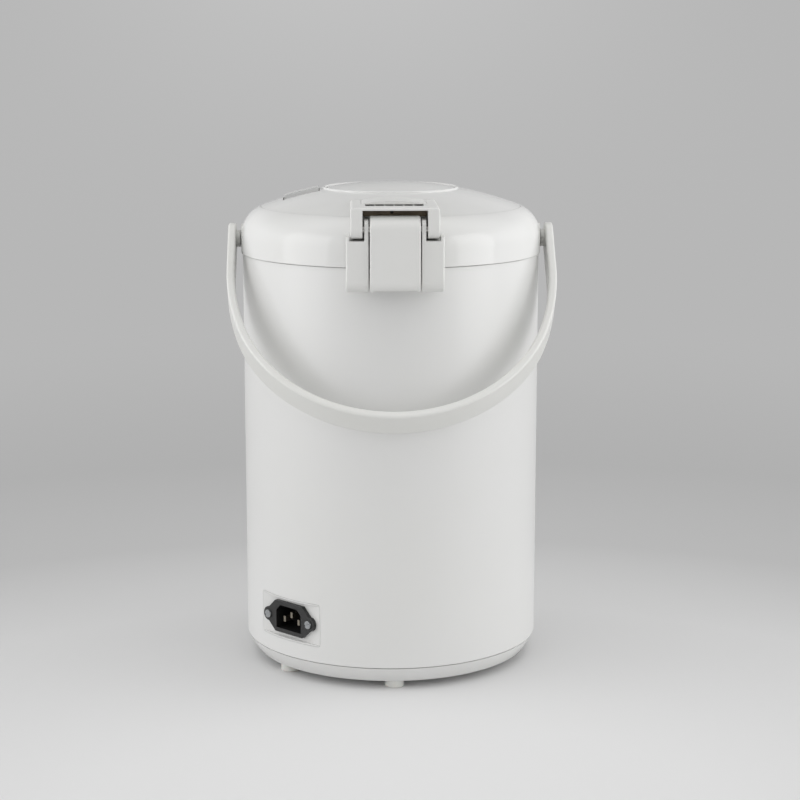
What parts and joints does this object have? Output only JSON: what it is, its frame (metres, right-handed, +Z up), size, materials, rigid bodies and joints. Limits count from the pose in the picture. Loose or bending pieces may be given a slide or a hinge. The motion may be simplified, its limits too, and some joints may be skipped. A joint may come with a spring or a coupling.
{
  "type": "electric thermo pot",
  "caption": "Round electric thermo pot with a domed lid, push plate, rear hinge, swinging bail handle, spout beak, level window and swivel base.",
  "frame": {"origin": "on the pot's vertical axis, in the plane of the feet", "axes": "+Z up; the spout faces -Y, the lid's hinge is at +Y, and the bail turns about an axis along X"},
  "size_m": [0.2298, 0.2926, 0.3415],
  "materials": {
    "body_white": "gloss white moulded and painted casing",
    "warm_white": "satin white moulded plastic",
    "hinge_white": "satin white moulded plastic",
    "inner_plastic": "plain natural white moulding",
    "stainless": "drawn and brushed stainless steel",
    "zinc_steel": "zinc plated steel",
    "pin_nickel": "nickel plated brass",
    "black_plastic": "black moulded thermoset",
    "grey_rubber": "pale soft rubber",
    "silicone": "translucent silicone",
    "felt": "needled felt",
    "glass_tube": "clear drawn glass",
    "clear_window": "clear moulded plastic",
    "panel_grey": "satin grey panel film",
    "button_grey": "blue grey moulded button",
    "lens_amber": "amber light pipe",
    "board_green": "coated circuit board",
    "mica_band": "aluminised heater sheath",
    "magnet_black": "sintered ferrite",
    "nylon": "natural nylon"
  },
  "bodies": {
    "base": {"swivel_base": "body_white", "base_feet": "grey_rubber", "glide_ring": "nylon"},
    "pot": {"outer_shell": "body_white", "bottom_plate": "inner_plastic", "swivel_retainer": "zinc_steel", "base_screws": "zinc_steel", "tie_brackets": "zinc_steel", "top_frame": "warm_white", "inner_pot": "stainless", "mouth_seal": "silicone", "insulation_sleeve": "felt", "heater_band": "mica_band", "heater_plate": "mica_band", "thermostat": "black_plastic", "pump_housing": "nylon", "pump_cover": "nylon", "pump_motor": "zinc_steel", "suction_hose": "silicone", "delivery_hose": "silicone", "gauge_tube": "glass_tube", "spout_pipe": "silicone", "nozzle": "inner_plastic", "gauge_window": "clear_window", "inlet_panel": "body_white", "inlet_socket": "black_plastic", "inlet_pins": "pin_nickel", "inlet_screws": "zinc_steel", "hinge_bracket": "hinge_white", "bracket_screws": "zinc_steel", "hinge_pin": "stainless", "flap_spring": "stainless", "spout_beak": "body_white", "spout_under_cover": "body_white", "control_panel": "panel_grey", "indicator_lenses": "lens_amber", "control_board": "board_green"},
    "bail": {"bail_handle": "warm_white", "bail_retainers": "zinc_steel"},
    "lid": {"hinge_yoke": "hinge_white", "steam_vent": "hinge_white", "lid_shell": "body_white", "latch_pin": "zinc_steel", "lid_top_plate": "body_white", "lid_under_cover": "inner_plastic", "lid_gasket": "silicone", "inner_lid_plate": "stainless", "check_valve": "silicone", "lid_screws": "zinc_steel", "bellows": "silicone", "return_spring": "stainless"},
    "push": {"push_plate": "body_white"},
    "lid_lock": {"lock_slide": "warm_white"},
    "latch": {"lid_latch": "warm_white"},
    "flap": {"release_flap": "hinge_white"},
    "dispense": {"dispense_button": "button_grey"},
    "reboil": {"reboil_button": "button_grey"},
    "child_lock": {"lock_button": "button_grey"},
    "motor_rotor": {"drive_magnet": "magnet_black"},
    "pump_rotor": {"impeller": "nylon"}
  },
  "joints": [
    {"name": "pot_swivel", "type": "hinge", "parent": "base", "child": "pot", "pos_m": [0, 0, 0.01], "axis": [0, 0, 1], "continuous": true},
    {"name": "lid_hinge", "type": "hinge", "parent": "pot", "child": "lid", "pos_m": [0, 0.1165, 0.3195], "axis": [-1, 0, 0], "range_deg": [0, 95]},
    {"name": "bail_pivot", "type": "hinge", "parent": "pot", "child": "bail", "pos_m": [0, 0, 0.3015], "axis": [1, 0, 0], "range_deg": [0, 220]},
    {"name": "push_travel", "type": "slide", "parent": "lid", "child": "push", "axis": [0, 0, -1], "range_m": [0, 0.018], "stiffness_N_per_m": 350, "springref_m": -0.004, "deforming": ["bellows", "return_spring"]},
    {"name": "lock_travel", "type": "slide", "parent": "lid", "child": "lid_lock", "axis": [0, 1, 0], "range_m": [0, 0.008]},
    {"name": "latch_pivot", "type": "hinge", "parent": "lid", "child": "latch", "pos_m": [0, -0.0993, 0.3085], "axis": [-1, 0, 0], "range_deg": [0, 10], "stiffness_Nm_per_rad": 0.05, "springref_deg": -5.73},
    {"name": "flap_pivot", "type": "hinge", "parent": "pot", "child": "flap", "pos_m": [0, 0.1165, 0.3195], "axis": [1, 0, 0], "range_deg": [0, 15], "stiffness_Nm_per_rad": 0.08, "springref_deg": -5.73},
    {"name": "dispense_press", "type": "slide", "parent": "pot", "child": "dispense", "axis": [0, 0.1135, -0.9935], "range_m": [0, 0.0015], "stiffness_N_per_m": 250, "springref_m": -0.001},
    {"name": "reboil_press", "type": "slide", "parent": "pot", "child": "reboil", "axis": [0, 0.1135, -0.9935], "range_m": [0, 0.0015], "stiffness_N_per_m": 250, "springref_m": -0.001},
    {"name": "lock_press", "type": "slide", "parent": "pot", "child": "child_lock", "axis": [0, 0.1135, -0.9935], "range_m": [0, 0.0015], "stiffness_N_per_m": 250, "springref_m": -0.001},
    {"name": "motor_spin", "type": "hinge", "parent": "pot", "child": "motor_rotor", "pos_m": [0, -0.062, 0.034], "axis": [0, 0, 1], "continuous": true},
    {"name": "impeller_spin", "type": "hinge", "parent": "pot", "child": "pump_rotor", "pos_m": [0, -0.062, 0.04], "axis": [0, 0, 1], "continuous": true}
  ],
  "couplings": [
    {"joint": "impeller_spin", "follows": "motor_spin", "ratio": 1}
  ]
}
